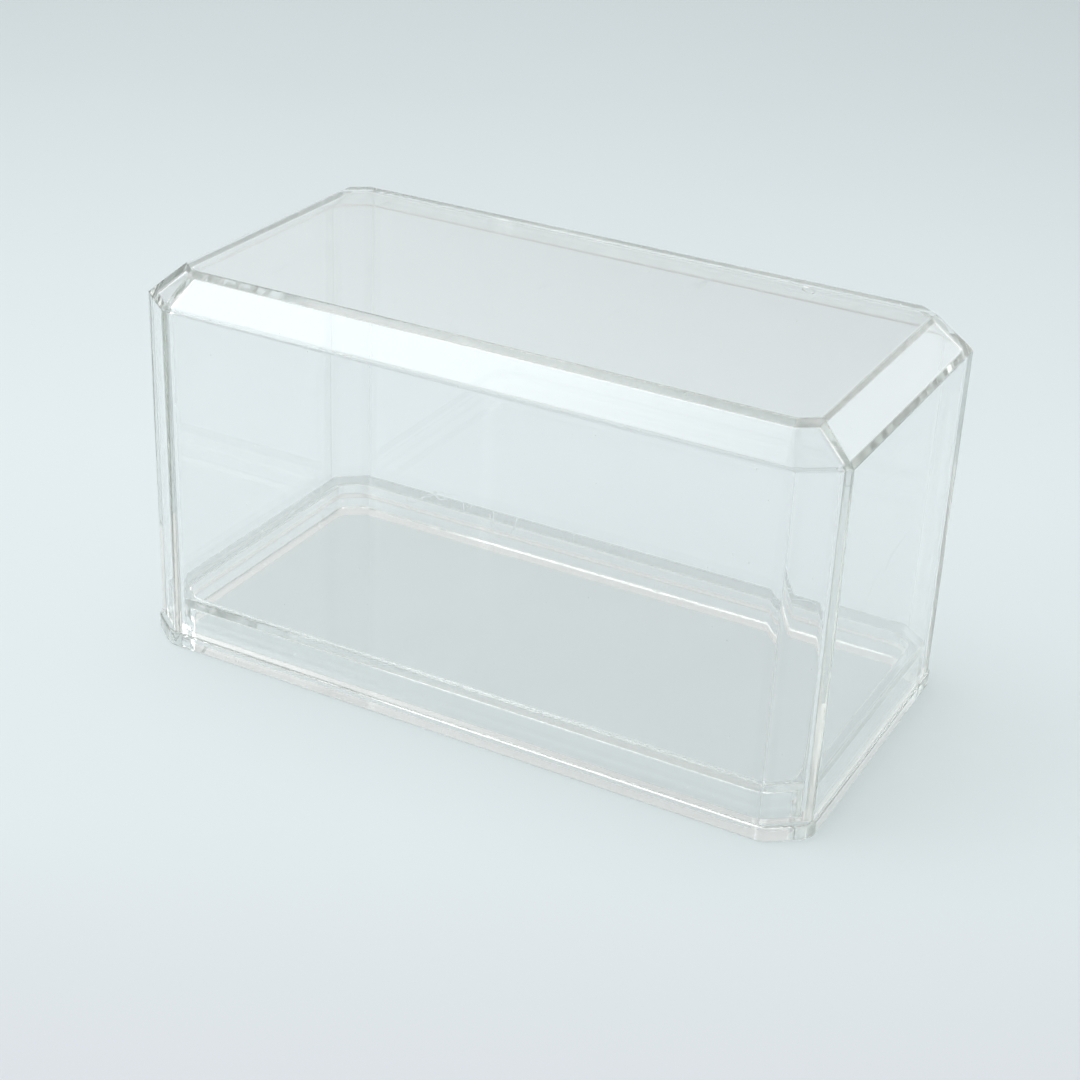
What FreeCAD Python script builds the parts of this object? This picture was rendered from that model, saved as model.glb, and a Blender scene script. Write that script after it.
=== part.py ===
import FreeCAD, Part
import os
import Sketcher

# A clear two-piece display case for a small model: an octagonal cover with a bevelled top, open below, lifts
# straight off a hollow base whose raised plinth plugs into it. Millimetres, +X along the length, +Z up, and
# the origin under the middle of the base, on the surface that the case stands on.

# Driving dimensions: alias, value and what it measures
SIZES = (
    ("case_length", 102.0, "over the cover's end walls, at the shoulder"),
    ("case_width", 52.5, "over the cover's long walls, at the shoulder"),
    ("case_height", 56.2, "from the surface below the base to the cover's top"),
    ("cover_wall", 1.9, "thickness of the cover all over"),
    ("cover_taper", 0.1, "how much further out the foot of a wall is than its shoulder"),
    ("corner_length", 5.6, "corner cut measured along the case"),
    ("corner_width", 4.3, "corner cut measured across the case"),
    ("bevel_drop", 4.6, "height of the bevel round the top"),
    ("end_bevel", 5.1, "how far the bevel leans in over an end wall"),
    ("side_bevel", 4.4, "how far the bevel leans in over a long wall"),
    ("corner_bevel", 4.7, "how far the bevel leans in over a cut corner"),
    ("cover_round", 0.6, "radius along the cover's outer edges"),
    ("cavity_corner", 2.0, "radius up the inner edges of the cut corners"),
    ("flange_height", 2.4, "edge of the base that the cover stands on"),
    ("flange_overhang", 0.3, "how far the base reaches out past the foot of the cover"),
    ("flange_corner", 3.0, "radius down the upright edges of the flange"),
    ("flange_round", 0.4, "radius along the flange's lower and upper edge"),
    ("plinth_rise", 5.1, "plinth above the flange"),
    ("plinth_gap", 0.3, "clearance between the plinth and the cover's inside"),
    ("plinth_corner", 1.0, "radius down the upright edges of the plinth"),
    ("plinth_round", 0.3, "radius along the plinth's top edge"),
    ("deck_thickness", 2.0, "floor of the case"),
    ("base_wall", 1.8, "wall round the base's hollow underside"),
    ("hollow_corner", 2.2, "radius up the upright edges of the hollow underside"),
    ("hollow_round", 0.3, "radius under the deck where it meets the base's walls"),
)


def make_sheet(doc):
    sheet = doc.addObject("Spreadsheet::Sheet", "Sizes")
    for row, (alias, value, meaning) in enumerate(SIZES, start=1):
        sheet.set("A%d" % row, str(value))
        sheet.setAlias("A%d" % row, alias)
        sheet.set("B%d" % row, meaning)
    doc.recompute()
    return sheet


def flat_sketch(body, name, height):
    """An empty sketch level with the body's own XY plane, at a height given as an expression."""
    planes = [plane for plane in body.Origin.OriginFeatures if plane.Role == "XY_Plane"]
    sketch = body.newObject("Sketcher::SketchObject", name)
    sketch.AttachmentSupport = (planes[0], "")
    sketch.MapMode = "FlatFace"
    sketch.setExpression("AttachmentOffset.Base.z", height)
    return sketch


def line_end(name):
    return ("edge", "start", "end").index(name)


def sketch_axis(name):
    return -1 - ("x", "y").index(name)


def draw_loop(sketch, points):
    """A closed loop of lines through the points, joined end to start."""
    corners = [FreeCAD.Vector(x, y, 0) for x, y in points]
    count = len(corners)
    for i in range(count):
        sketch.addGeometry(Part.LineSegment(corners[i], corners[(i + 1) % count]), False)
    for i in range(count):
        joined = (i, line_end("end"), (i + 1) % count, line_end("start"))
        sketch.addConstraint(Sketcher.Constraint("Coincident", *joined))


def mirror_points(sketch, pairs):
    for first, first_end, second, second_end, axis in pairs:
        ends = (first, line_end(first_end), second, line_end(second_end))
        sketch.addConstraint(Sketcher.Constraint("Symmetric", *ends, sketch_axis(axis)))


def dimension(sketch, kind, ends, name, expression):
    """A named distance between two line ends, as drawn at first, then driven by an expression."""
    first, first_end, second, second_end = ends
    places = (first, line_end(first_end), second, line_end(second_end))
    gap = sketch.getPoint(*places[2:]) - sketch.getPoint(*places[:2])
    drawn = {"DistanceX": gap.x, "DistanceY": gap.y}[kind]
    index = sketch.addConstraint(Sketcher.Constraint(kind, *places, drawn))
    sketch.renameConstraint(index, name)
    sketch.setExpression("Constraints." + name, expression)


def octagon(body, sheet, name, height, end_inset, side_inset, corner_inset):
    """The case's plan with cut corners, drawn in by the three insets, which keep every side parallel."""
    sketch = flat_sketch(body, name, height)
    end, side = sheet.case_length / 2, sheet.case_width / 2
    near_end, near_side = end - sheet.corner_length, side - sheet.corner_width
    draw_loop(sketch, (
        (-near_end, -side), (near_end, -side), (end, -near_side), (end, near_side),
        (near_end, side), (-near_end, side), (-end, near_side), (-end, -near_side),
    ))
    front, corner, right, back, left = 0, 1, 2, 4, 6
    mirror_points(sketch, (
        (front, "start", front, "end", "y"),
        (front, "end", back, "start", "x"),
        (back, "start", back, "end", "y"),
        (right, "start", right, "end", "x"),
        (right, "end", left, "start", "y"),
        (left, "start", left, "end", "x"),
    ))
    cut_length = (
        "Sizes.corner_length - (%s) - (%s) * Sizes.corner_length / Sizes.corner_width"
        " + (%s) * hypot(Sizes.corner_length; Sizes.corner_width) / Sizes.corner_width"
    ) % (end_inset, side_inset, corner_inset)
    cut_width = "(%s) * Sizes.corner_width / Sizes.corner_length" % cut_length
    length = "Sizes.case_length - 2 * (%s)" % end_inset
    width = "Sizes.case_width - 2 * (%s)" % side_inset
    dimension(sketch, "DistanceX", (left, "start", right, "end"), "length", length)
    dimension(sketch, "DistanceY", (front, "end", back, "start"), "width", width)
    dimension(sketch, "DistanceX", (corner, "start", corner, "end"), "cut_length", cut_length)
    dimension(sketch, "DistanceY", (corner, "start", corner, "end"), "cut_width", cut_width)
    return sketch


def even_octagon(body, sheet, name, height, inset):
    return octagon(body, sheet, name, height, inset, inset, inset)


def loft(body, kind, name, sections):
    feature = body.newObject(kind, name)
    feature.Profile = sections[0]
    feature.Sections = sections[1:]
    feature.Ruled = True
    return feature


def extrude(body, kind, name, sketch, length, backwards):
    feature = body.newObject(kind, name)
    feature.Profile = sketch
    feature.setExpression("Length", length)
    feature.Reversed = backwards
    return feature


def round_edges(body, name, feature, radius, chosen):
    """A fillet on the edges of a feature that the test picks out."""
    body.Document.recompute()
    names = ["Edge%d" % i for i, edge in enumerate(feature.Shape.Edges, start=1) if chosen(edge)]
    fillet = body.newObject("PartDesign::Fillet", name)
    fillet.Base = (feature, names)
    fillet.setExpression("Radius", radius)
    return fillet


def is_level(edge, height):
    box = edge.BoundBox
    return abs(box.ZMin - height) < 1e-4 and abs(box.ZMax - height) < 1e-4


def is_upright(edge):
    box = edge.BoundBox
    return box.ZLength > 1e-3 and box.XLength < 1e-4 and box.YLength < 1e-4


def matches(shape, lowest):
    """A test for the edges that a shape also has, above the lowest height."""
    middles = [edge.CenterOfMass for edge in shape.Edges if edge.BoundBox.ZMax > lowest + 1e-4]
    return lambda edge: any(edge.CenterOfMass.distanceToPoint(middle) < 1e-4 for middle in middles)


def mitred(run):
    """How far the bevel's inner face leans in, for an outer face that leans in by the run."""
    return "%s + Sizes.cover_wall * (hypot(Sizes.bevel_drop; %s) - %s) / Sizes.bevel_drop" % (run, run, run)


def make_cover(doc, sheet):
    """The clear cover: one wall thickness all over, cut corners, a bevel round the top, open below."""
    body = doc.addObject("PartDesign::Body", "Cover")
    body.Label = "cover"
    foot = "Sizes.flange_height"
    shoulder = "Sizes.case_height - Sizes.bevel_drop"
    inner_shoulder = (
        "%s - Sizes.cover_wall * (hypot(Sizes.bevel_drop; Sizes.side_bevel) - Sizes.bevel_drop) / Sizes.side_bevel"
    ) % shoulder
    outside = (
        even_octagon(body, sheet, "CoverFoot", foot, "-Sizes.cover_taper"),
        even_octagon(body, sheet, "CoverShoulder", shoulder, "0"),
        octagon(body, sheet, "CoverTop", "Sizes.case_height",
                "Sizes.end_bevel", "Sizes.side_bevel", "Sizes.corner_bevel"),
    )
    block = loft(body, "PartDesign::AdditiveLoft", "CoverOutside", outside)
    doc.recompute()
    inside = (
        even_octagon(body, sheet, "CavityFoot", foot, "Sizes.cover_wall - Sizes.cover_taper"),
        even_octagon(body, sheet, "CavityShoulder", inner_shoulder, "Sizes.cover_wall"),
        octagon(body, sheet, "CavityTop", "Sizes.case_height - Sizes.cover_wall",
                mitred("Sizes.end_bevel"), mitred("Sizes.side_bevel"), mitred("Sizes.corner_bevel")),
    )
    shell = loft(body, "PartDesign::SubtractiveLoft", "CoverCavity", inside)
    doc.recompute()
    outer_edges = matches(block.Shape, sheet.flange_height)
    inner_edges = matches(shell.AddSubShape, sheet.flange_height)
    eased = round_edges(body, "CoverEdges", shell, "Sizes.cover_round", outer_edges)
    round_edges(body, "CavityCorners", eased, "Sizes.cavity_corner",
                lambda edge: inner_edges(edge) and edge.BoundBox.ZLength > 1e-3)
    doc.recompute()
    return body


def make_base(doc, sheet):
    """The clear base: a flange under the cover, a plinth inside it, hollow underneath, with cut corners."""
    body = doc.addObject("PartDesign::Body", "Base")
    body.Label = "base"
    flange_top = sheet.flange_height
    deck_top = sheet.flange_height + sheet.plinth_rise
    deck_under = deck_top - sheet.deck_thickness
    plinth_inset = "Sizes.cover_wall - Sizes.cover_taper + Sizes.plinth_gap"
    outline = even_octagon(body, sheet, "FlangeOutline", "0", "-Sizes.cover_taper - Sizes.flange_overhang")
    slab = extrude(body, "PartDesign::Pad", "Flange", outline, "Sizes.flange_height", False)
    corners = round_edges(body, "FlangeCorners", slab, "Sizes.flange_corner", is_upright)
    round_edges(body, "FlangeEdges", corners, "Sizes.flange_round",
                lambda edge: is_level(edge, 0) or is_level(edge, flange_top))
    plan = even_octagon(body, sheet, "PlinthPlan", "Sizes.flange_height", plinth_inset)
    plinth = extrude(body, "PartDesign::Pad", "Plinth", plan, "Sizes.plinth_rise", False)
    turned = round_edges(body, "PlinthCorners", plinth, "Sizes.plinth_corner",
                         lambda edge: is_upright(edge) and edge.BoundBox.ZMax > deck_top - 1e-4)
    round_edges(body, "PlinthEdge", turned, "Sizes.plinth_round", lambda edge: is_level(edge, deck_top))
    hollow_plan = even_octagon(body, sheet, "HollowPlan", "0", plinth_inset + " + Sizes.base_wall")
    hollow = extrude(body, "PartDesign::Pocket", "Hollow", hollow_plan,
                     "Sizes.flange_height + Sizes.plinth_rise - Sizes.deck_thickness", True)
    cleared = round_edges(body, "HollowCorners", hollow, "Sizes.hollow_corner",
                          lambda edge: is_upright(edge) and edge.BoundBox.ZMin < 1e-4)
    round_edges(body, "HollowEdge", cleared, "Sizes.hollow_round", lambda edge: is_level(edge, deck_under))
    doc.recompute()
    return body


def check(doc, bodies):
    failed = [obj.Name for obj in doc.Objects if {"Invalid", "Error"} & set(obj.State)]
    if failed:
        raise RuntimeError("failed: " + ", ".join(failed))
    for body in bodies:
        shape = body.Shape
        if shape.isNull() or not shape.isValid() or len(shape.Solids) != 1:
            raise RuntimeError("bad shape: " + body.Label)


def main():
    doc = FreeCAD.newDocument("display_case")
    sheet = make_sheet(doc)
    bodies = (make_cover(doc, sheet), make_base(doc, sheet))
    check(doc, bodies)
    os.makedirs("parts", exist_ok=True)
    for body in bodies:
        body.Shape.exportStep("parts/%s.step" % body.Label)
        box = body.Shape.optimalBoundingBox()
        print("%s: %.1f x %.1f x %.1f mm, %.0f mm3, %d faces" % (
            body.Label, box.XLength, box.YLength, box.ZLength, body.Shape.Volume, len(body.Shape.Faces)))


main()
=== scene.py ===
from contextlib import contextmanager
from math import cos, hypot, radians, sin, tan

import bmesh
import bpy
from bpy.props import FloatProperty, FloatVectorProperty, PointerProperty
from mathutils import Matrix, Vector


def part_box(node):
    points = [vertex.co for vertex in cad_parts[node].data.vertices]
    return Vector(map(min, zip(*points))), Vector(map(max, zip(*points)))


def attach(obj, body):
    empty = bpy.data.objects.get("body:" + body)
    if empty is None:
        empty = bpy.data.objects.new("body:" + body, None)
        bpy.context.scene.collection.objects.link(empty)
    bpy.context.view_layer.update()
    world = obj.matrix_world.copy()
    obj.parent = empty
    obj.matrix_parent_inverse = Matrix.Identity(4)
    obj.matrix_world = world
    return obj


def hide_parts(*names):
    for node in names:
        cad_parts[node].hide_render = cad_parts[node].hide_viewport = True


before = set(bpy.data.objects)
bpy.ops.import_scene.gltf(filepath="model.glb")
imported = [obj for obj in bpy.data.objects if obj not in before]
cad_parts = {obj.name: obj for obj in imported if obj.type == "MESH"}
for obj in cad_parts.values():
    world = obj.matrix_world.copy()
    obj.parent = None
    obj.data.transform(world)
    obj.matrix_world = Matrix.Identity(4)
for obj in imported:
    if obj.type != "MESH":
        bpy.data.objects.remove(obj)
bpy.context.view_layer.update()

bl_info = {
    "name": "Clear Display Case",
    "version": (1, 0, 0),
    "blender": (4, 5, 0),
    "location": "View3D > Sidebar > Display Case",
    "description": "Models a clear case in two pieces, a bevelled cover and a hollow base, on a pale stage",
    "category": "Object",
}

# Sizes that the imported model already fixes
COVER_LOW, COVER_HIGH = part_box("cover")
BASE_LOW, BASE_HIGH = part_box("base")
MM = 0.001
TINY = 1e-6

# Fineness of the meshes: faces across a rounding, round the gate mark and floor, along and up the tool marks
CORNER_STEPS = 8
COVER_STEPS = 5
BROAD_STEPS = 6
SMALL_STEPS = 4
GATE_STEPS = 32
FLOOR_STEPS = 96
MARK_SPLITS = 16
MARK_ROWS = 4

# What counts as flat, as a rounding, as the front, and as an upright edge beside a long wall
SAME_PLANE = radians(0.1)
LEAST_TURN = radians(3)
SMOOTH_TURN = radians(32)
NARROW_SIDE = 0.4 * MM
SQUARE_TO_FRONT = -0.99
FLAT_FRONT = -0.999
UPRIGHT_RISE = 0.02
SIDE_EDGE_NORMALS = (0.8, 0.998)

# Marks on the plastic: how fine each kind is, per metre, how much of it shows, and what it does
HAZE_SCALE, RIPPLE_SCALE = 65.0, 140.0
SCRATCH_SCALE, SCRATCH_TURN, SCRATCH_STRETCH = 210.0, (0.5, 0.9, 0.4), (1.0, 0.12, 1.0)
SCRATCH_WIDTH, SCRATCH_HEIGHT = 0.004, -0.1
PATCH_SCALE, PATCH_LEVEL = 110.0, 0.6
DUST_SCALE, DUST_SIZE, DUST_SHARE = 520.0, 0.045, 0.35
WEAR_SOIL = 0.5

# The floor: metres across and below the case, roughness, where its painted shade far behind and near the
# camera runs, and its mottle
FLOOR_RADIUS, FLOOR_DROP, FLOOR_ROUGHNESS = 4.0, 0.05 * MM, 0.9
FAR_SHADE_START, FAR_SHADE_END = 0.06, 0.30
NEAR_SHADE_START, NEAR_SHADE_END = -0.045, -0.09
MOTTLE_SCALE, MOTTLE = 9.0, 0.03

# How often light may turn in the plastic, and pass straight through it
LIGHT_BOUNCES = 128
CLEAR_BOUNCES = 32

# Where the camera stands: degrees round and above the case, degrees of roll, millimetres
CAMERA_AZIMUTH, CAMERA_HEIGHT, CAMERA_ROLL = radians(27.4576), radians(27.3923), radians(2.5187)
CAMERA_TARGET = Vector((-0.8822, -0.0149, 18.1992)) * MM
CAMERA_DISTANCE = 295.6185 * MM
CAMERA_LENS, CAMERA_SENSOR, CAMERA_NEAR = 69.7285, 36.0, 10 * MM

# Soft patches of the surroundings: direction, degrees to the edge and to the even middle, added brightness
SOFT_PATCHES = (
    ((-0.75, -0.30, 0.60), 37.0, 12.0, 3.3),
    ((0.35, 0.88, 0.31), 27.0, 8.0, 0.4),
    ((0.0, 0.1, 1.0), 32.0, 14.0, 0.2),
    ((-0.1, 0.93, 0.37), 78.0, 25.0, 0.38),
    ((-0.2, 0.98, 0.04), 32.0, 10.0, -0.3),
)


def length(name, millimetres, description):
    return FloatProperty(name=name, description=description, default=millimetres * MM, min=0.0, precision=5,
                         unit="LENGTH")


def value(name, default, description):
    return FloatProperty(name=name, description=description, default=default, min=0.0)


def colour(name, default, description):
    return FloatVectorProperty(name=name, description=description, default=default, size=4, min=0.0, max=1.0,
                               subtype="COLOR")


class CoverSizes(bpy.types.PropertyGroup):
    """Sizes of the clear cover."""
    wall: length("Wall", 1.9, "Thickness of the cover all over")
    taper: length("Taper", 0.1, "How much further out the foot of a wall is than its shoulder")
    corner_length: length("Corner Length", 5.6, "Corner cut measured along the case")
    corner_width: length("Corner Width", 4.3, "Corner cut measured across the case")
    bevel_drop: length("Bevel Drop", 4.6, "Height of the bevel round the top")
    end_bevel: length("End Bevel", 5.1, "How far the bevel leans in over an end wall")
    side_bevel: length("Side Bevel", 4.4, "How far the bevel leans in over a long wall")
    corner_bevel: length("Corner Bevel", 4.7, "How far the bevel leans in over a cut corner")
    outer_round: length("Outer Rounding", 0.6, "Radius up the outer edges beside an end wall")
    level_round: length("Level Rounding", 0.3, "Radius along the outer edges that run round the top")
    side_round: length("Side Rounding", 0.4, "Radius up the edges between a long wall and its cut corners")
    hip_round: length("Hip Rounding", 1.2, "Radius along the same edges where they rise over the bevel")
    inner_side: length("Inner Side Corner", 3.4, "Radius up the upright inner edges beside a long wall")
    inner_end: length("Inner End Corner", 2.0, "Radius up the upright inner edges beside an end wall")
    inner_hip: length("Inner Hip", 0.8, "Radius that the inner edges along the bevel shrink to at the top")
    inner_round: length("Inner Rounding", 0.4, "Radius along the inner edges that run round the top")
    foot_gap: length("Foot Gap", 0.03, "Film of air between the cover's foot and the base")
    gate_along: length("Gate Along", 26.7, "Place of the round gate mark along the back bevel")
    gate_radius: length("Gate Radius", 0.95, "Radius of the gate mark")
    gate_depth: length("Gate Depth", 0.2, "Depth of the gate mark")


class BaseSizes(bpy.types.PropertyGroup):
    """Sizes of the clear base."""
    flange_height: length("Flange Height", 2.4, "Edge of the base that the cover stands on")
    flange_overhang: length("Flange Overhang", 0.3, "How far the flange reaches past the cover's foot")
    flange_reach: length("Flange Corner Reach", 0.5, "How much further out its cut corners reach")
    flange_corner: length("Flange Corner", 3.0, "Radius of the flange's upright edges")
    flange_round: length("Flange Rounding", 0.4, "Radius along the flange's lower and upper edge")
    plinth_gap: length("Plinth Gap", 0.3, "Clearance between the plinth and the cover's inside")
    plinth_corner: length("Plinth Corner", 1.0, "Radius of the plinth's upright edges")
    plinth_round: length("Plinth Rounding", 0.3, "Radius along the plinth's top edge")
    deck_thickness: length("Deck Thickness", 2.0, "Floor of the case")
    wall: length("Wall", 1.8, "Wall round the hollow underside")
    hollow_corner: length("Hollow Corner", 2.2, "Radius of the hollow's upright edges")
    hollow_round: length("Hollow Rounding", 0.3, "Radius under the deck where it meets the walls")
    marks_start: FloatProperty(name="Tool Marks Start", description="Where the tool marks on the front begin",
                               default=-5.0 * MM, precision=5, unit="LENGTH")
    marks_end: length("Tool Marks End", 44.0, "Where the tool marks on the front end")
    marks_margin: length("Tool Marks Margin", 0.1, "Plain edge round the tool marks")
    marks_depth: length("Tool Marks Depth", 0.035, "Depth of the tool marks")
    marks_lean: length("Tool Marks Lean", 0.12, "How far the middle of a tool mark bows to one side")


class PlasticLook(bpy.types.PropertyGroup):
    """Look of the clear plastic."""
    tint: colour("Tint", (0.996, 0.998, 0.997, 1.0), "Colour of the clear plastic")
    depth_tint: colour("Depth Tint", (0.85, 0.865, 0.85, 1.0), "Colour of long ways through the plastic")
    depth_density: value("Depth Density", 18.0, "How fast the depth tint builds up, per metre")
    shade: colour("Shade", (0.950, 0.953, 0.950, 1.0), "What one face leaves of a lamp's light")
    bend: value("Refractive Index", 1.56, "How much the plastic bends light")
    roughness: value("Roughness", 0.017, "Roughness of the clean plastic")
    haze: value("Haze", 0.010, "How much the roughness wanders over a face")
    scratches: value("Scratches", 0.10, "Roughness of the fine scratches")
    dust: value("Dust", 0.45, "Roughness of the dust specks")
    edge_wear: value("Edge Wear", 0.04, "Roughness that handling adds along the edges")
    frost: value("Edge Frost", 0.25, "Roughness that the mould leaves up the edges beside the long walls")
    soil: colour("Soil", (0.90, 0.905, 0.90, 1.0), "Colour of dust specks and rubbed edges")
    ripple: length("Ripple", 0.0015, "Height of the faint waves that moulding leaves on a face")


class StageLook(bpy.types.PropertyGroup):
    """Look of the floor, its painted shade and its light."""
    floor: colour("Floor", (0.765, 0.828, 0.851, 1.0), "Colour of the floor")
    # Painted shade: the floor keeps only this share of its colour far behind the case, where the light falls
    # off
    far_painted_shade: value("Far Painted Shade", 0.907, "How much of its colour the floor keeps far behind the case")
    # Painted shade: a colour that the floor is multiplied by near the camera, where the light falls off
    near_painted_shade: colour("Near Painted Shade", (0.958, 0.923, 0.945, 1.0), "What its colour keeps near the camera")
    sky: colour("Surroundings", (0.752, 0.770, 0.762, 1.0), "Colour of the pale surroundings")
    sky_light: value("Light From Surroundings", 0.24, "Brightness of the surroundings as a light")
    sky_seen: value("Surroundings Seen", 0.40, "How much brighter they look where they are seen")
    top_power: FloatProperty(name="Top Lamp", description="Power of the lamp overhead", default=2.45, min=0.0,
                             subtype="POWER")
    top_height: length("Top Lamp Height", 720.0, "Height of the lamp overhead")
    top_left: length("Top Lamp Left", 120.0, "How far left of the case the lamp overhead hangs")
    top_size: length("Top Lamp Size", 500.0, "Side of the lamp overhead")


# Modelling steps that the pieces share


def make_active(piece):
    if bpy.context.object and bpy.context.object.mode != "OBJECT":
        bpy.ops.object.mode_set(mode="OBJECT")
    bpy.ops.object.select_all(action="DESELECT")
    piece.select_set(True)
    bpy.context.view_layer.objects.active = piece


@contextmanager
def editing(piece, kind):
    """Opens a piece in edit mode with nothing selected, and closes it again."""
    make_active(piece)
    bpy.ops.object.mode_set(mode="EDIT")
    bpy.ops.mesh.select_mode(type=kind)
    bpy.ops.mesh.select_all(action="DESELECT")
    yield bmesh.from_edit_mesh(piece.data)
    bpy.ops.object.mode_set(mode="OBJECT")


def pick(piece, shape, elements, chosen):
    """Selects the vertices, edges or faces that a test picks out."""
    for element in elements:
        if chosen(element):
            element.select_set(True)
    shape.select_flush_mode()
    bmesh.update_edit_mesh(piece.data)


def block(name, low, high):
    """A box between two corners, with its place in its mesh."""
    low, high = Vector(low), Vector(high)
    bpy.ops.mesh.primitive_cube_add(size=1.0, location=(low + high) / 2, scale=high - low)
    bpy.ops.object.transform_apply(location=True, rotation=True, scale=True)
    made = bpy.context.object
    made.name = name
    made.data.name = name
    return made


def slice_away(piece, point, outward):
    """Cuts a piece along a plane, drops what is outside and closes the cut."""
    with editing(piece, "VERT"):
        bpy.ops.mesh.select_all(action="SELECT")
        bpy.ops.mesh.bisect(plane_co=point, plane_no=outward.normalized(), use_fill=True, clear_outer=True,
                            threshold=TINY / 10)


def slice_round(piece, lower, upper):
    """Slices a piece along the planes between two rings of corners."""
    count = len(lower)
    for i in range(count):
        along = lower[(i + 1) % count] - lower[i]
        slice_away(piece, lower[i], along.cross(upper[i] - lower[i]))


def tidy(piece):
    with editing(piece, "VERT"):
        bpy.ops.mesh.select_all(action="SELECT")
        bpy.ops.mesh.remove_doubles(threshold=TINY)
        bpy.ops.mesh.dissolve_limited(angle_limit=SAME_PLANE)
        bpy.ops.mesh.normals_make_consistent(inside=False)


def is_level(a, b):
    return abs(a.z - b.z) < TINY


def is_rising(a, b):
    return not is_level(a, b)


def is_above(height):
    """A test for the edges that lie at a height or higher."""
    return lambda a, b: min(a.z, b.z) > height - TINY


def where(chosen, radius):
    """A rounding rule: one radius on the edges whose two ends pass a test."""
    return lambda edge: radius if chosen(edge.verts[0].co, edge.verts[1].co) else 0.0


def round_edges(piece, steps, radius_of):
    """Rounds each edge to the radius that a rule gives it."""
    shape = bmesh.new()
    shape.from_mesh(piece.data)
    reach = []
    for edge in shape.edges:
        turn = edge.calc_face_angle(0.0)
        reach.append(radius_of(edge) * tan(turn / 2) if turn > LEAST_TURN else 0.0)
    shape.free()
    widest = max(reach)
    weights = piece.data.attributes.new("bevel_weight_edge", "FLOAT", "EDGE")
    weights.data.foreach_set("value", [share / widest for share in reach])
    make_active(piece)
    rounding = piece.modifiers.new("Rounding", "BEVEL")
    rounding.limit_method = "WEIGHT"
    rounding.width = widest
    rounding.segments = steps
    rounding.use_clamp_overlap = False
    bpy.ops.object.modifier_apply(modifier=rounding.name)
    piece.data.attributes.remove(piece.data.attributes["bevel_weight_edge"])


def combine(piece, other, operation):
    """Joins another solid to a piece, or cuts it out, and takes the other away."""
    make_active(piece)
    change = piece.modifiers.new("Combine", "BOOLEAN")
    change.operation = operation
    change.solver = "EXACT"
    change.object = other
    bpy.ops.object.modifier_apply(modifier=change.name)
    bpy.data.objects.remove(other)


def is_narrow(mesh, face):
    """Tells the narrow faces of a rounding from the broad ones and from the tool marks on the front."""
    corners = [mesh.vertices[i].co for i in face.vertices]
    shortest = min((corners[i] - corners[i - 1]).length for i in range(len(corners)))
    return shortest < NARROW_SIDE and face.normal.y > SQUARE_TO_FRONT


def mark_faces(piece, name, test):
    """Gives each face a value for the material to read: one where the test holds, and nothing elsewhere."""
    mark = piece.data.attributes.new(name, "FLOAT", "FACE")
    mark.data.foreach_set("value", [float(test(face)) for face in piece.data.polygons])


def finish_surface(piece):
    """Smooths the roundings between flat faces that stay flat, and marks the roundings for edge wear."""
    tidy(piece)
    bpy.ops.object.shade_smooth_by_angle(angle=SMOOTH_TURN)
    flat = piece.modifiers.new("Flat Faces", "WEIGHTED_NORMAL")
    flat.mode = "FACE_AREA"
    flat.weight = 100
    flat.keep_sharp = True
    bpy.ops.object.modifier_apply(modifier=flat.name)
    mark_faces(piece, "edge", lambda face: is_narrow(piece.data, face))


def octagon(sizes, height, ends, sides, corners):
    """The eight corners of the case's plan, drawn in by an inset at its ends, sides and cut corners."""
    half_length = (COVER_HIGH.x - COVER_LOW.x) / 2 - sizes.taper - ends
    half_width = (COVER_HIGH.y - COVER_LOW.y) / 2 - sizes.taper - sides
    slope = sizes.corner_width / sizes.corner_length
    diagonal = hypot(sizes.corner_length, sizes.corner_width)
    cut_length = sizes.corner_length - ends - sides / slope + corners * diagonal / sizes.corner_width
    cut_width = cut_length * slope
    ax, ay = half_length - cut_length, half_width
    bx, by = half_length, half_width - cut_width
    ring = ((-ax, -ay), (ax, -ay), (bx, -by), (bx, by), (ax, ay), (-ax, ay), (-bx, by), (-bx, -by))
    return [Vector((x, y, height)) for x, y in ring]


def even_octagon(sizes, height, inset):
    return octagon(sizes, height, inset, inset, inset)


def octagon_block(name, lower, upper):
    """A block between two rings of eight corners, one straight above the other."""
    reach_x = max(corner.x for corner in upper)
    reach_y = max(corner.y for corner in upper)
    made = block(name, (-reach_x, -reach_y, lower[0].z), (reach_x, reach_y, upper[0].z))
    for i in (1, 3, 5, 7):
        slice_away(made, lower[i], (lower[(i + 1) % 8] - lower[i]).cross(upper[i] - lower[i]))
    tidy(made)
    return made


def even_octagon_block(name, sizes, inset, bottom, top):
    return octagon_block(name, even_octagon(sizes, bottom, inset), even_octagon(sizes, top, inset))


def rounded_ring(ring, side_radius, end_radius):
    """The case's plan with an arc in the place of each corner, by the sides and by the ends."""
    points = []
    count = len(ring)
    for i, corner in enumerate(ring):
        radius = side_radius if i % 4 < 2 else end_radius
        back = (ring[i - 1] - corner).normalized()
        ahead = (ring[(i + 1) % count] - corner).normalized()
        turn = back.angle(-ahead)
        middle = corner + (back + ahead).normalized() * radius / cos(turn / 2)
        start = corner + back * radius * tan(turn / 2) - middle
        for step in range(CORNER_STEPS + 1):
            points.append(middle + Matrix.Rotation(turn * step / CORNER_STEPS, 3, "Z") @ start)
    return points


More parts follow.
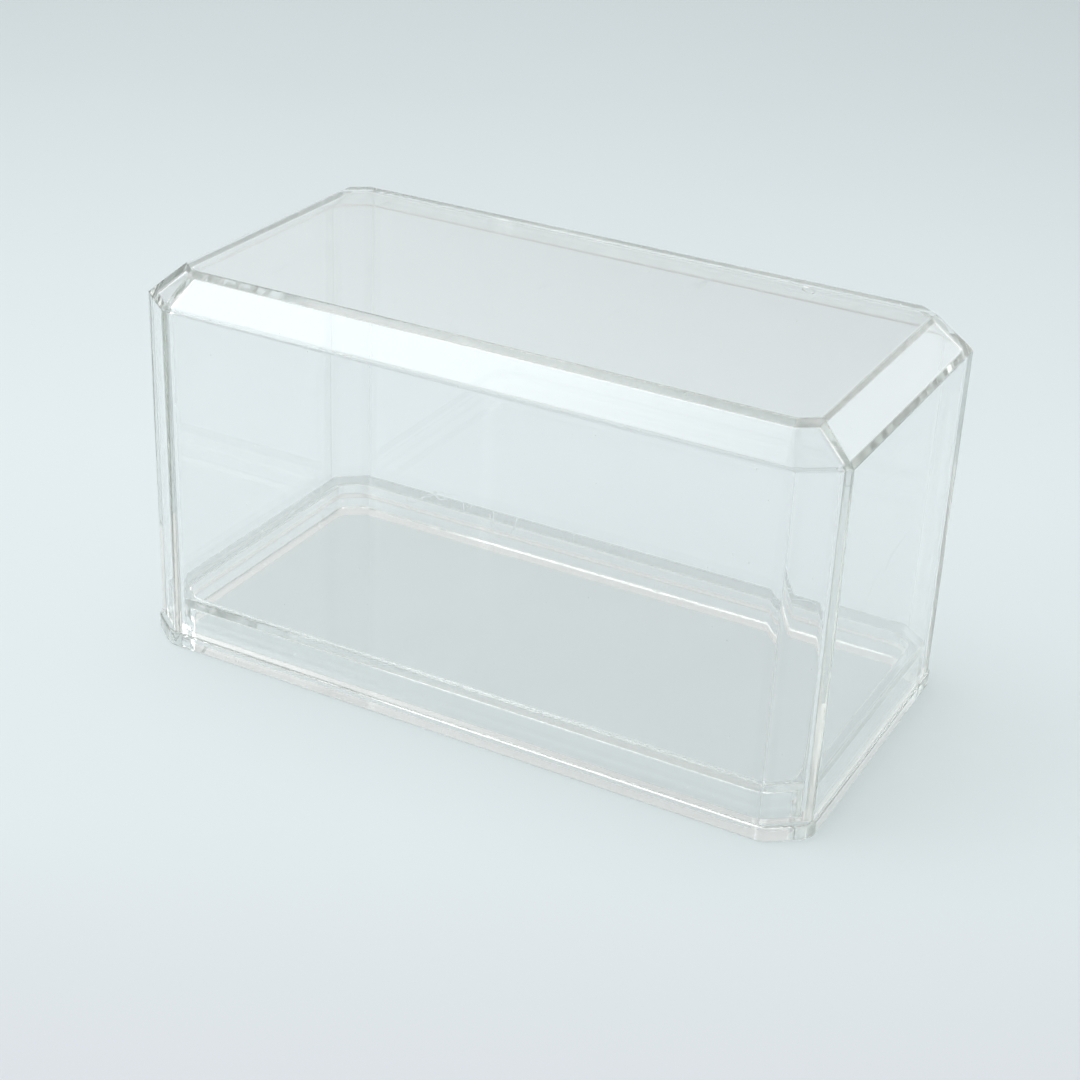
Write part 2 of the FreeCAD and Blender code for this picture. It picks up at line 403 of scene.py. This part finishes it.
def stack_rings(name, rings):
    """A solid that rises through rings of points, each ring drawn out of the one below."""
    bpy.ops.mesh.primitive_circle_add(vertices=len(rings[0]), radius=1.0, fill_type="NGON")
    made = bpy.context.object
    made.name = name
    made.data.name = name
    for vertex, point in zip(made.data.vertices, rings[0]):
        vertex.co = point
    for lower, upper in zip(rings, rings[1:]):
        rise = (0.0, 0.0, upper[0].z - lower[0].z)
        with editing(made, "FACE") as shape:
            pick(made, shape, shape.faces, lambda face: all(is_level(v.co, lower[0]) for v in face.verts))
            bpy.ops.mesh.extrude_region_move(TRANSFORM_OT_translate={"value": rise})
        raised = [vertex for vertex in made.data.vertices if is_level(vertex.co, upper[0])]
        moves = []
        for vertex in raised:
            nearest = min(range(len(lower)), key=lambda i: (lower[i].xy - vertex.co.xy).length)
            moves.append((vertex, upper[nearest]))
        for vertex, point in moves:
            vertex.co = point
    tidy(made)
    return made


def replace_node(piece, node):
    """Puts a modelled piece in the place of its solid, on the same body."""
    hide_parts(node)
    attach(piece, node)


# Materials


class NodeBench:
    """Adds nodes to a tree, with plain values or other nodes' sockets as their inputs."""

    def __init__(self, tree):
        self.tree = tree

    def add(self, kind, inputs, **settings):
        node = self.tree.nodes.new(kind)
        for name, setting in settings.items():
            setattr(node, name, setting)
        self.feed(node, inputs)
        return node

    def feed(self, node, inputs):
        for key, given in inputs.items():
            if isinstance(given, bpy.types.NodeSocket):
                self.tree.links.new(given, node.inputs[key])
            else:
                node.inputs[key].default_value = given

    def math(self, operation, *given):
        return self.add("ShaderNodeMath", dict(enumerate(given)), operation=operation).outputs["Value"]

    def noise(self, place, scale, detail):
        inputs = {"Vector": place, "Scale": scale, "Detail": detail}
        return self.add("ShaderNodeTexNoise", inputs).outputs["Fac"]


def plastic_marks():
    """Node group: what moulding and handling leave on clear plastic, as roughness, colour and height."""
    tree = bpy.data.node_groups.new("Plastic Marks", "ShaderNodeTree")
    for name, kind in (("Place", "Vector"), ("Edge", "Float"), ("Tint", "Color"), ("Soil", "Color"),
                       ("Roughness", "Float"), ("Haze", "Float"), ("Scratches", "Float"), ("Dust", "Float"),
                       ("Edge Wear", "Float"), ("Side Edge", "Float"), ("Edge Frost", "Float")):
        tree.interface.new_socket(name, in_out="INPUT", socket_type="NodeSocket" + kind)
    for name, kind in (("Colour", "Color"), ("Roughness", "Float"), ("Height", "Float")):
        tree.interface.new_socket(name, in_out="OUTPUT", socket_type="NodeSocket" + kind)
    bench = NodeBench(tree)
    given = bench.add("NodeGroupInput", {}).outputs
    place = given["Place"]

    # Haze wanders over a face, and ripples are what the mould leaves
    haze = bench.noise(place, HAZE_SCALE, 4.0)
    ripple = bench.noise(place, RIPPLE_SCALE, 1.0)

    # Scratches are thin level lines of a stretched noise, and come only here and there
    turned = bench.add("ShaderNodeMapping",
                       {"Vector": place, "Rotation": SCRATCH_TURN, "Scale": SCRATCH_STRETCH})
    grain = bench.noise(turned.outputs["Vector"], SCRATCH_SCALE, 1.0)
    off_line = bench.math("ABSOLUTE", bench.math("SUBTRACT", grain, 0.5))
    line = bench.math("LESS_THAN", off_line, SCRATCH_WIDTH)
    patch = bench.noise(place, PATCH_SCALE, 0.0)
    scratch = bench.math("MULTIPLY", line, bench.math("GREATER_THAN", patch, PATCH_LEVEL))

    # Dust specks sit in a few of many small cells
    cells = bench.add("ShaderNodeTexVoronoi", {"Vector": place, "Scale": DUST_SCALE})
    chance = bench.add("ShaderNodeSeparateColor", {"Color": cells.outputs["Color"]}).outputs["Red"]
    speck = bench.math("LESS_THAN", cells.outputs["Distance"], DUST_SIZE)
    speck = bench.math("MULTIPLY", speck, bench.math("LESS_THAN", chance, DUST_SHARE))

    # Edges are rubbed by handling, and the upright ones beside the long walls are a little frosted
    wear = bench.math("MULTIPLY", given["Edge"], haze)
    soil = bench.math("MULTIPLY_ADD", wear, WEAR_SOIL, speck)
    tinted = bench.add("ShaderNodeMix", {0: soil, 6: given["Tint"], 7: given["Soil"]}, data_type="RGBA")
    wander = bench.math("SUBTRACT", haze, 0.5)
    rough = bench.math("MULTIPLY_ADD", wander, given["Haze"], given["Roughness"])
    rough = bench.math("MULTIPLY_ADD", scratch, given["Scratches"], rough)
    rough = bench.math("MULTIPLY_ADD", wear, given["Edge Wear"], rough)
    rough = bench.math("MULTIPLY_ADD", given["Side Edge"], given["Edge Frost"], rough)
    rough = bench.math("MULTIPLY_ADD", speck, given["Dust"], rough)
    height = bench.math("MULTIPLY_ADD", scratch, SCRATCH_HEIGHT, ripple)
    bench.add("NodeGroupOutput", {"Colour": tinted.outputs[2], "Roughness": rough, "Height": height})
    return tree


def clear_plastic(name, look):
    """Clear moulded plastic that lets lamps through to what is behind it."""
    material = bpy.data.materials.new(name)
    material.use_nodes = True
    bench = NodeBench(material.node_tree)
    surface = material.node_tree.nodes["Principled BSDF"]
    group = bpy.data.node_groups.get("Plastic Marks") or plastic_marks()
    marks = bench.add("ShaderNodeGroup", {}, node_tree=group)
    bench.feed(marks, {
        "Place": bench.add("ShaderNodeTexCoord", {}).outputs["Object"],
        "Edge": bench.add("ShaderNodeAttribute", {}, attribute_name="edge").outputs["Fac"],
        "Tint": look.tint,
        "Soil": look.soil,
        "Roughness": look.roughness,
        "Haze": look.haze,
        "Scratches": look.scratches,
        "Dust": look.dust,
        "Edge Wear": look.edge_wear,
        "Side Edge": bench.add("ShaderNodeAttribute", {}, attribute_name="frost").outputs["Fac"],
        "Edge Frost": look.frost,
    })
    waves = bench.add("ShaderNodeBump", {"Distance": look.ripple, "Height": marks.outputs["Height"]})
    bench.feed(surface, {
        "Base Color": marks.outputs["Colour"],
        "Roughness": marks.outputs["Roughness"],
        "Normal": waves.outputs["Normal"],
        "IOR": look.bend,
        "Transmission Weight": 1.0,
    })
    passing = bench.add("ShaderNodeBsdfTransparent", {"Color": look.shade})
    path = bench.add("ShaderNodeLightPath", {})
    lamp_ray = bench.math("MAXIMUM", path.outputs["Is Shadow Ray"], path.outputs["Is Diffuse Ray"])
    mix = bench.add("ShaderNodeMixShader",
                    {0: lamp_ray, 1: surface.outputs["BSDF"], 2: passing.outputs["BSDF"]})
    depth = bench.add("ShaderNodeVolumeAbsorption", {"Color": look.depth_tint, "Density": look.depth_density})
    bench.feed(material.node_tree.nodes["Material Output"],
               {"Surface": mix.outputs["Shader"], "Volume": depth.outputs["Volume"]})
    return material


def floor_paper(look):
    """Pale paper with a faint mottle, with painted shade far behind the case and near the camera where the
    light falls off.
    """
    material = bpy.data.materials.new("Floor Paper")
    material.use_nodes = True
    bench = NodeBench(material.node_tree)
    place = bench.add("ShaderNodeTexCoord", {}).outputs["Object"]
    mottle = bench.noise(place, MOTTLE_SCALE, 3.0)
    away = (-sin(CAMERA_AZIMUTH), cos(CAMERA_AZIMUTH), 0.0)
    behind = bench.add("ShaderNodeVectorMath", {0: place, 1: away}, operation="DOT_PRODUCT")
    # Painted shade: the floor's colour fades to the far share behind the case, standing in for the light
    # falling off
    far = bench.add("ShaderNodeMapRange", {
        "Value": behind.outputs["Value"],
        "From Min": FAR_SHADE_START,
        "From Max": FAR_SHADE_END,
        "To Min": 1.0,
        "To Max": look.far_painted_shade,
    })
    mottled = bench.math("MULTIPLY_ADD", mottle, MOTTLE, 1.0 - MOTTLE / 2)
    far_shaded_mottle = bench.math("MULTIPLY", far.outputs["Result"], mottled)
    # Painted shade: the floor's colour is multiplied towards the near colour in front of the case, standing
    # in for the light falling off
    near = bench.add("ShaderNodeMapRange", {
        "Value": behind.outputs["Value"],
        "From Min": NEAR_SHADE_START,
        "From Max": NEAR_SHADE_END,
    })
    near_shaded_floor = bench.add("ShaderNodeMix", {0: near.outputs["Result"], 6: look.floor, 7: look.near_painted_shade},
                      data_type="RGBA", blend_type="MULTIPLY")
    paper = bench.add("ShaderNodeMix", {0: 1.0, 6: near_shaded_floor.outputs[2], 7: far_shaded_mottle}, data_type="RGBA",
                      blend_type="MULTIPLY")
    bench.feed(material.node_tree.nodes["Principled BSDF"],
               {"Base Color": paper.outputs[2], "Roughness": FLOOR_ROUGHNESS, "Specular IOR Level": 0.0})
    return material


# Operators


class CASE_OT_cover(bpy.types.Operator):
    """Model the clear cover: cut corners, a bevel round the top, one wall thickness, open below"""
    bl_idname = "display_case.cover"
    bl_label = "Make Cover"

    def execute(self, context):
        sizes = context.scene.case_cover
        foot = COVER_LOW.z + sizes.foot_gap
        top = COVER_HIGH.z
        shoulder = top - sizes.bevel_drop
        cover = block("clear_cover", (COVER_LOW.x, COVER_LOW.y, foot), COVER_HIGH)
        ring = even_octagon(sizes, shoulder, 0.0)
        slice_round(cover, even_octagon(sizes, COVER_LOW.z, -sizes.taper), ring)
        slice_round(cover, ring, octagon(sizes, top, sizes.end_bevel, sizes.side_bevel, sizes.corner_bevel))
        tidy(cover)
        round_edges(cover, COVER_STEPS, lambda edge: self.outer_radius(edge, sizes, foot))
        combine(cover, self.make_cavity(sizes, foot, top, shoulder), "DIFFERENCE")
        combine(cover, self.make_gate_mark(sizes, top), "DIFFERENCE")
        finish_surface(cover)
        mark_faces(cover, "frost", lambda face: is_narrow(cover.data, face) and self.is_side_edge(face))
        cover.data.materials.append(clear_plastic("Clear Cover Plastic", context.scene.case_plastic))
        replace_node(cover, "cover")
        return {"FINISHED"}

    def outer_radius(self, edge, sizes, foot):
        """The foot stays sharp, and the edges that rise over the bevel by a long wall are the roundest."""
        low, high = sorted(vertex.co.z for vertex in edge.verts)
        if high < foot + TINY:
            return 0.0
        if high < low + TINY:
            return sizes.level_round
        beside_long_wall = any(abs(face.normal.y) > 2 * abs(face.normal.x) for face in edge.link_faces)
        if not beside_long_wall:
            return sizes.outer_round
        return sizes.side_round if low < foot + TINY else sizes.hip_round

    def is_side_edge(self, face):
        """Tells the upright outer roundings between a long wall and its cut corners from the rest."""
        least, most = SIDE_EDGE_NORMALS
        upright = abs(face.normal.z) < UPRIGHT_RISE
        outside = face.normal.xy.dot(face.center.xy) > 0
        return upright and outside and least < abs(face.normal.y) < most

    def make_gate_mark(self, sizes, top):
        """The shallow round dent on the back bevel where the plastic went into the mould."""
        outward = Vector((0.0, sizes.bevel_drop, sizes.side_bevel))
        middle = Vector((sizes.gate_along, COVER_HIGH.y - sizes.taper - sizes.side_bevel / 2,
                         top - sizes.bevel_drop / 2))
        bpy.ops.mesh.primitive_cylinder_add(
            vertices=GATE_STEPS,
            radius=sizes.gate_radius,
            depth=2 * sizes.gate_depth,
            location=middle,
            rotation=outward.to_track_quat("Z", "Y").to_euler(),
        )
        bpy.ops.object.transform_apply(location=True, rotation=True, scale=True)
        return bpy.context.object

    def make_cavity(self, sizes, foot, top, shoulder):
        """The space inside the cover, one wall in from its outside all over."""
        wall = sizes.wall

        def mitred(run):
            return run + wall * (hypot(sizes.bevel_drop, run) - run) / sizes.bevel_drop

        below = foot - wall
        slant = hypot(sizes.bevel_drop, sizes.side_bevel)
        inner_shoulder = shoulder - wall * (slant - sizes.bevel_drop) / sizes.side_bevel
        spread = sizes.taper * (inner_shoulder - below) / (inner_shoulder - COVER_LOW.z)
        ceiling = octagon(sizes, top - wall, mitred(sizes.end_bevel), mitred(sizes.side_bevel),
                          mitred(sizes.corner_bevel))
        rings = (
            rounded_ring(even_octagon(sizes, below, wall - spread), sizes.inner_side, sizes.inner_end),
            rounded_ring(even_octagon(sizes, inner_shoulder, wall), sizes.inner_side, sizes.inner_end),
            rounded_ring(ceiling, sizes.inner_hip, sizes.inner_hip),
        )
        cavity = stack_rings("cavity", rings)
        round_edges(cavity, COVER_STEPS,
                    where(lambda a, b: is_level(a, b) and a.z > below + TINY, sizes.inner_round))
        return cavity


class CASE_OT_base(bpy.types.Operator):
    """Model the clear base: a flange with rounded corners, a plinth inside the cover, hollow underneath"""
    bl_idname = "display_case.base"
    bl_label = "Make Base"

    def execute(self, context):
        sizes = context.scene.case_base
        cover = context.scene.case_cover
        deck = BASE_HIGH.z
        flange_top = BASE_LOW.z + sizes.flange_height
        edge = -cover.taper - sizes.flange_overhang
        corner = edge - sizes.flange_reach
        base = octagon_block("clear_base", octagon(cover, BASE_LOW.z, edge, edge, corner),
                             octagon(cover, flange_top, edge, edge, corner))
        round_edges(base, BROAD_STEPS, where(is_rising, sizes.flange_corner))
        round_edges(base, SMALL_STEPS, where(is_level, sizes.flange_round))

        inset = cover.wall - cover.taper + sizes.plinth_gap
        plinth = even_octagon_block("plinth", cover, inset, flange_top - sizes.flange_height / 2, deck)
        round_edges(plinth, SMALL_STEPS, where(is_rising, sizes.plinth_corner))
        round_edges(plinth, SMALL_STEPS, where(is_above(deck), sizes.plinth_round))
        combine(base, plinth, "UNION")

        roof = deck - sizes.deck_thickness
        hollow = even_octagon_block("hollow", cover, inset + sizes.wall, BASE_LOW.z - sizes.wall, roof)
        round_edges(hollow, BROAD_STEPS, where(is_rising, sizes.hollow_corner))
        round_edges(hollow, SMALL_STEPS, where(is_above(roof), sizes.hollow_round))
        combine(base, hollow, "DIFFERENCE")
        tidy(base)
        self.score_front(base, sizes, flange_top)
        finish_surface(base)
        base.data.materials.append(clear_plastic("Clear Base Plastic", context.scene.case_plastic))
        replace_node(base, "base")
        return {"FINISHED"}

    def score_front(self, base, sizes, flange_top):
        """Fine tool marks up the front of the flange: shallow columns that bow a little to one side."""
        start, end = sizes.marks_start, sizes.marks_end
        left, right = start + sizes.marks_margin, end - sizes.marks_margin
        low = BASE_LOW.z + sizes.flange_round + sizes.marks_margin
        high = flange_top - sizes.flange_round - sizes.marks_margin

        def is_front(face):
            return face.normal.y < FLAT_FRONT and face.calc_center_median().y < BASE_LOW.y + TINY

        def in_field(vertex):
            beside = left - TINY < vertex.co.x < right + TINY and low - TINY < vertex.co.z < high + TINY
            return beside and vertex.co.y < BASE_LOW.y + 2 * sizes.marks_depth

        def in_grid(edge, direction):
            return all(in_field(vertex) for vertex in edge.verts) and direction(*(v.co for v in edge.verts))

        for cut in (start, end):
            with editing(base, "FACE") as shape:
                pick(base, shape, shape.faces, is_front)
                bpy.ops.mesh.bisect(plane_co=(cut, 0.0, 0.0), plane_no=(1.0, 0.0, 0.0), threshold=TINY / 10)
        with editing(base, "FACE") as shape:
            pick(base, shape, shape.faces,
                 lambda face: is_front(face) and start < face.calc_center_median().x < end)
            bpy.ops.mesh.inset(thickness=sizes.marks_margin)
        for direction, splits in ((is_level, MARK_SPLITS), (is_level, MARK_SPLITS), (is_rising, MARK_ROWS)):
            with editing(base, "EDGE") as shape:
                pick(base, shape, shape.edges, lambda edge: in_grid(edge, direction))
                bpy.ops.mesh.subdivide(number_cuts=splits - 1)
        self.press_columns(base, sizes, in_field, (left, right), (low, high))

    def press_columns(self, base, sizes, in_field, across, upward):
        """Presses every other column of the marks in, and bows the rows between their ends to one side."""
        left, right = across
        low, high = upward
        step = (right - left) / MARK_SPLITS ** 2
        for row in range(1, MARK_ROWS):
            share = row / MARK_ROWS
            height = low + (high - low) * share
            bow = sizes.marks_lean * 4 * share * (1 - share)

            def on_row(vertex):
                inside = left + TINY < vertex.co.x < right - TINY
                return inside and in_field(vertex) and abs(vertex.co.z - height) < TINY

            with editing(base, "VERT") as shape:
                pick(base, shape, shape.verts,
                     lambda vertex: on_row(vertex) and round((vertex.co.x - left) / step) % 2 == 1)
                bpy.ops.transform.translate(value=(0.0, sizes.marks_depth, 0.0))
            with editing(base, "VERT") as shape:
                pick(base, shape, shape.verts, on_row)
                bpy.ops.transform.translate(value=(bow, 0.0, 0.0))


class CASE_OT_stage(bpy.types.Operator):
    """Set out the pale floor, its lamp, the surroundings and the camera"""
    bl_idname = "display_case.stage"
    bl_label = "Set Stage"

    def execute(self, context):
        look = context.scene.case_stage
        bpy.ops.mesh.primitive_circle_add(vertices=FLOOR_STEPS, radius=FLOOR_RADIUS, fill_type="NGON",
                                          location=(0.0, 0.0, -FLOOR_DROP))
        floor = context.object
        floor.name = "floor"
        floor.data.materials.append(floor_paper(look))
        self.add_top_lamp(context, look)
        self.set_surroundings(context, look)
        self.set_camera(context)
        context.scene.view_settings.view_transform = "Standard"
        cycles = context.scene.cycles
        cycles.max_bounces = LIGHT_BOUNCES
        cycles.transmission_bounces = LIGHT_BOUNCES
        cycles.glossy_bounces = LIGHT_BOUNCES
        cycles.transparent_max_bounces = CLEAR_BOUNCES
        return {"FINISHED"}

    def add_top_lamp(self, context, look):
        bpy.ops.object.light_add(type="AREA", location=(-look.top_left, 0.0, look.top_height))
        lamp = context.object
        lamp.name = "top_lamp"
        lamp.rotation_mode = "QUATERNION"
        lamp.rotation_quaternion = (-lamp.location).to_track_quat("-Z", "Y")
        lamp.data.shape = "SQUARE"
        lamp.data.size = look.top_size
        lamp.data.energy = look.top_power

    def set_surroundings(self, context, look):
        """Pale surroundings with soft patches, a little brighter where they are seen than as a light."""
        world = bpy.data.worlds.new("Pale Surroundings")
        context.scene.world = world
        world.use_nodes = True
        bench = NodeBench(world.node_tree)
        outward = bench.add("ShaderNodeTexCoord", {}).outputs["Generated"]
        path = bench.add("ShaderNodeLightPath", {}).outputs
        seen = bench.math("MAXIMUM", path["Is Camera Ray"], path["Is Glossy Ray"])
        seen = bench.math("MAXIMUM", seen, path["Is Transmission Ray"])
        strength = bench.math("MULTIPLY_ADD", seen, look.sky_seen, look.sky_light)
        for direction, edge, middle, brightness in SOFT_PATCHES:
            facing = bench.add("ShaderNodeVectorMath", {0: outward, 1: Vector(direction).normalized()},
                               operation="DOT_PRODUCT")
            soft = bench.add("ShaderNodeMapRange", {
                "Value": facing.outputs["Value"],
                "From Min": cos(radians(edge)),
                "From Max": cos(radians(middle)),
                "To Max": brightness,
            }, interpolation_type="SMOOTHERSTEP")
            strength = bench.math("ADD", strength, soft.outputs["Result"])
        bench.feed(world.node_tree.nodes["Background"], {"Color": look.sky, "Strength": strength})

    def set_camera(self, context):
        """The camera at the height, turn and slight roll that show two walls and the top."""
        turn_x, turn_y = cos(CAMERA_AZIMUTH), sin(CAMERA_AZIMUTH)
        level_share = cos(CAMERA_HEIGHT)
        back = Vector((turn_y * level_share, -turn_x * level_share, sin(CAMERA_HEIGHT)))
        level = Vector((turn_x, turn_y, 0.0))
        upright = back.cross(level)
        right = level * cos(CAMERA_ROLL) + upright * sin(CAMERA_ROLL)
        up = upright * cos(CAMERA_ROLL) - level * sin(CAMERA_ROLL)
        bpy.ops.object.camera_add()
        camera = context.object
        camera.name = "camera"
        place = Matrix((right, up, back)).transposed().to_4x4()
        place.translation = CAMERA_TARGET + back * CAMERA_DISTANCE
        camera.matrix_world = place
        camera.data.sensor_width = CAMERA_SENSOR
        camera.data.lens = CAMERA_LENS
        camera.data.clip_start = CAMERA_NEAR
        context.scene.camera = camera


class CASE_PT_panel(bpy.types.Panel):
    """Steps that build the display case"""
    bl_idname = "CASE_PT_panel"
    bl_label = "Display Case"
    bl_space_type = "VIEW_3D"
    bl_region_type = "UI"
    bl_category = "Display Case"

    def draw(self, context):
        for operator in (CASE_OT_cover, CASE_OT_base, CASE_OT_stage):
            self.layout.operator(operator.bl_idname)
        for name in GROUPS:
            group = getattr(context.scene, name)
            for prop in group.bl_rna.properties:
                if prop.is_runtime:
                    self.layout.prop(group, prop.identifier)


GROUPS = {
    "case_cover": CoverSizes,
    "case_base": BaseSizes,
    "case_plastic": PlasticLook,
    "case_stage": StageLook,
}
CLASSES = (*GROUPS.values(), CASE_OT_cover, CASE_OT_base, CASE_OT_stage, CASE_PT_panel)


def register():
    for cls in CLASSES:
        bpy.utils.register_class(cls)
    for name, group in GROUPS.items():
        setattr(bpy.types.Scene, name, PointerProperty(type=group))


def unregister():
    for name in GROUPS:
        delattr(bpy.types.Scene, name)
    for cls in reversed(CLASSES):
        bpy.utils.unregister_class(cls)


def main():
    register()
    bpy.ops.display_case.cover()
    bpy.ops.display_case.base()
    bpy.ops.display_case.stage()


if __name__ == "__main__":
    main()
